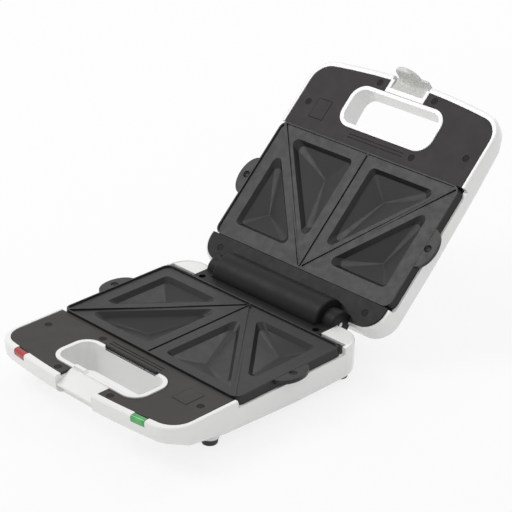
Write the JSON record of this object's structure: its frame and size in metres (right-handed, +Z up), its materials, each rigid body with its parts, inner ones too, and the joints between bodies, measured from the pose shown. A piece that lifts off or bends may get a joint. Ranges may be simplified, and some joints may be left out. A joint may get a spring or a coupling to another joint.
{
  "type": "sandwich toaster",
  "caption": "Electric sandwich toaster with a hinged lid, two triangular pocket plates, through handles, a front latch clip, plate release buttons and lamp windows.",
  "frame": {"origin": "on the standing plane under the middle of the open toaster's bounding box", "axes": "+X to the user's right along the hinge, +Y from the handle to the hinge, +Z up"},
  "size_m": [0.254, 0.4465, 0.2206],
  "materials": {
    "white_shell": "gloss",
    "bezel_plastic": "satin",
    "coated_plate": "non-stick coated",
    "hinge_plastic": "satin",
    "heater_steel": "oxidised",
    "shield_steel": "bright",
    "upper_shield": "bright",
    "bright_steel": "plated",
    "black_screws": "black",
    "foot_rubber": "matt",
    "red_lens": "clear red",
    "green_lens": "clear green",
    "bulb_glass": "clear",
    "ceramic": "fired",
    "clip_plastic": "milky"
  },
  "bodies": {
    "base": {"lower_housing": "white_shell", "lower_bezel": "bezel_plastic", "lower_plate": "coated_plate", "lower_heater": "heater_steel", "lower_tray": "shield_steel", "lower_hinge_cover": "hinge_plastic", "hinge_pins": "bright_steel", "lower_bezel_screws": "black_screws", "hinge_cover_screws": "bright_steel", "front_feet": "foot_rubber", "rear_feet": "foot_rubber", "red_lamp_lens": "red_lens", "green_lamp_lens": "green_lens", "neon_lamps": "bulb_glass", "thermostat": "ceramic", "thermal_fuse": "bright_steel", "terminal_block": "ceramic", "cord_gland": "foot_rubber"},
    "lid": {"upper_housing": "white_shell", "upper_bezel": "bezel_plastic", "upper_plate": "coated_plate", "upper_heater": "heater_steel", "upper_tray": "upper_shield", "upper_hinge_cover": "hinge_plastic", "upper_bezel_screws": "black_screws", "upper_cover_screws": "bright_steel", "latch_pin": "bright_steel"},
    "latch": {"latch_clip": "clip_plastic"},
    "lower_button": {"lower_release_button": "bezel_plastic"},
    "lower_catch_slider": {"lower_catch": "hinge_plastic"},
    "upper_button": {"upper_release_button": "bezel_plastic"},
    "upper_catch_slider": {"upper_catch": "hinge_plastic"}
  },
  "joints": [
    {"name": "lid_hinge", "type": "hinge", "parent": "base", "child": "lid", "pos_m": [0, 0.02803, 0.039], "axis": [1, 0, 0], "range_deg": [0, 136.5]},
    {"name": "latch_swing", "type": "hinge", "parent": "lid", "child": "latch", "pos_m": [0, 0.21078, 0.1945], "axis": [-1, 0, 0], "range_deg": [-8, 12]},
    {"name": "lower_release_press", "type": "slide", "parent": "base", "child": "lower_button", "axis": [0, 0, -1], "range_m": [0, 0.003], "stiffness_N_per_m": 150, "springref_m": -0.002},
    {"name": "lower_catch_slide", "type": "slide", "parent": "base", "child": "lower_catch_slider", "axis": [0, -1, 0], "range_m": [0, 0.003]},
    {"name": "upper_release_press", "type": "slide", "parent": "lid", "child": "upper_button", "axis": [0, 0.6884, -0.7254], "range_m": [0, 0.003], "stiffness_N_per_m": 150, "springref_m": -0.002},
    {"name": "upper_catch_slide", "type": "slide", "parent": "lid", "child": "upper_catch_slider", "axis": [0, 0.7254, 0.6884], "range_m": [0, 0.003]}
  ],
  "couplings": [
    {"joint": "lower_catch_slide", "follows": "lower_release_press", "ratio": 1},
    {"joint": "upper_catch_slide", "follows": "upper_release_press", "ratio": 1}
  ]
}
